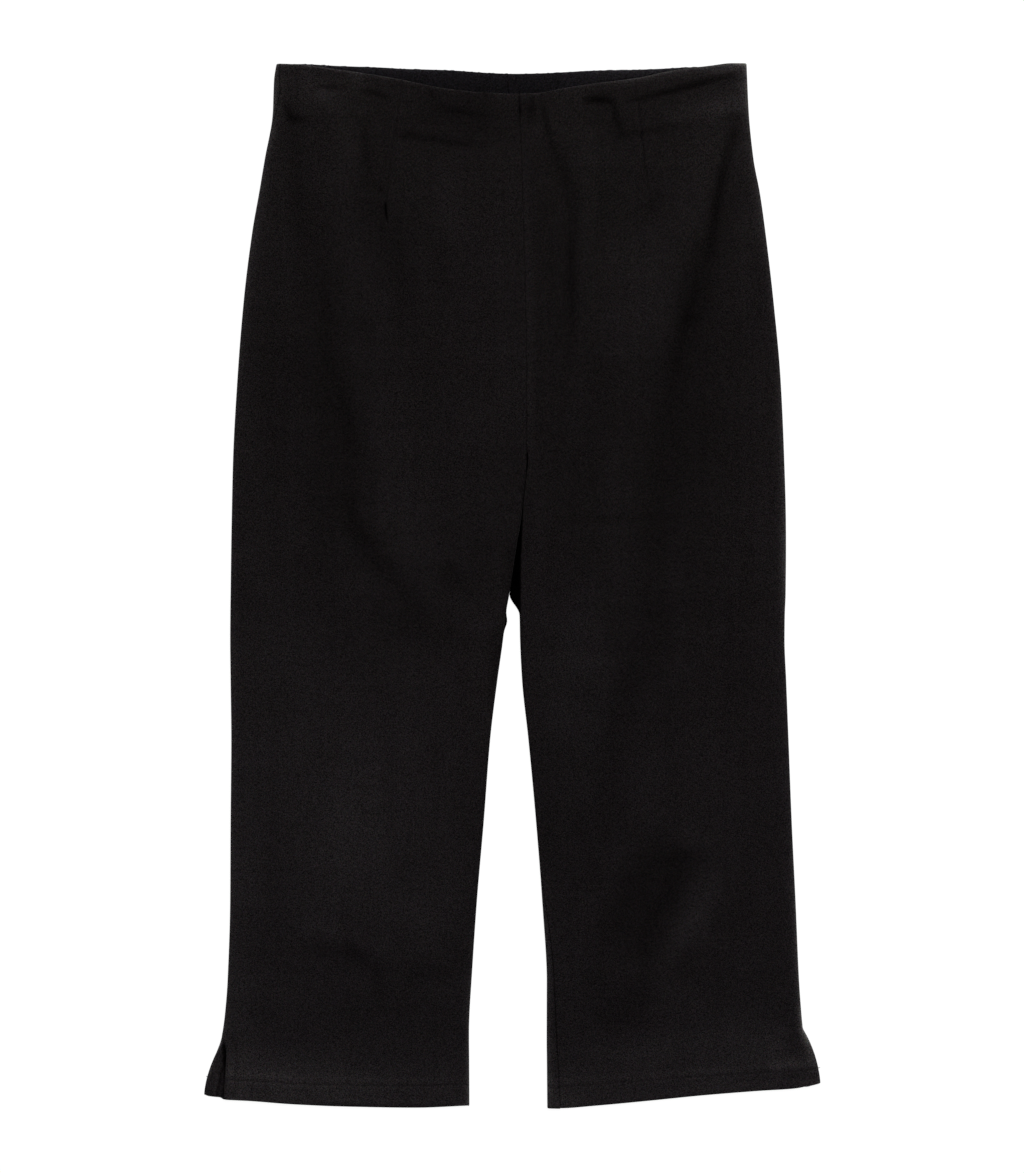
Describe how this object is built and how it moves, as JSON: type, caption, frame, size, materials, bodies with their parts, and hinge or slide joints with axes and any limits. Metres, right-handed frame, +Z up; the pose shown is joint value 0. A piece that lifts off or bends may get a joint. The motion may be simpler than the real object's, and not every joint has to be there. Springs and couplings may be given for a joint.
{
  "type": "capri pants",
  "caption": "High-waisted cropped trousers in plain black stretch cloth, laid flat with the front up, with darts, straight legs and short side slits at the hems.",
  "frame": {"origin": "centre of the garment's box on the surface that it lies on", "axes": "+Y towards the waist, +X towards the wearer's left side, +Z up out of the front"},
  "size_m": [0.449, 0.7617, 0.0111],
  "materials": {
    "cloth": "matt black stretch weave with faint slubs",
    "band": "smooth bluish black stretch band"
  },
  "bodies": {
    "root": {"front_right": "cloth", "front_left": "cloth", "back_right": "cloth", "back_left": "cloth", "back_facing_right": "band", "back_facing_left": "band"}
  },
  "joints": []
}
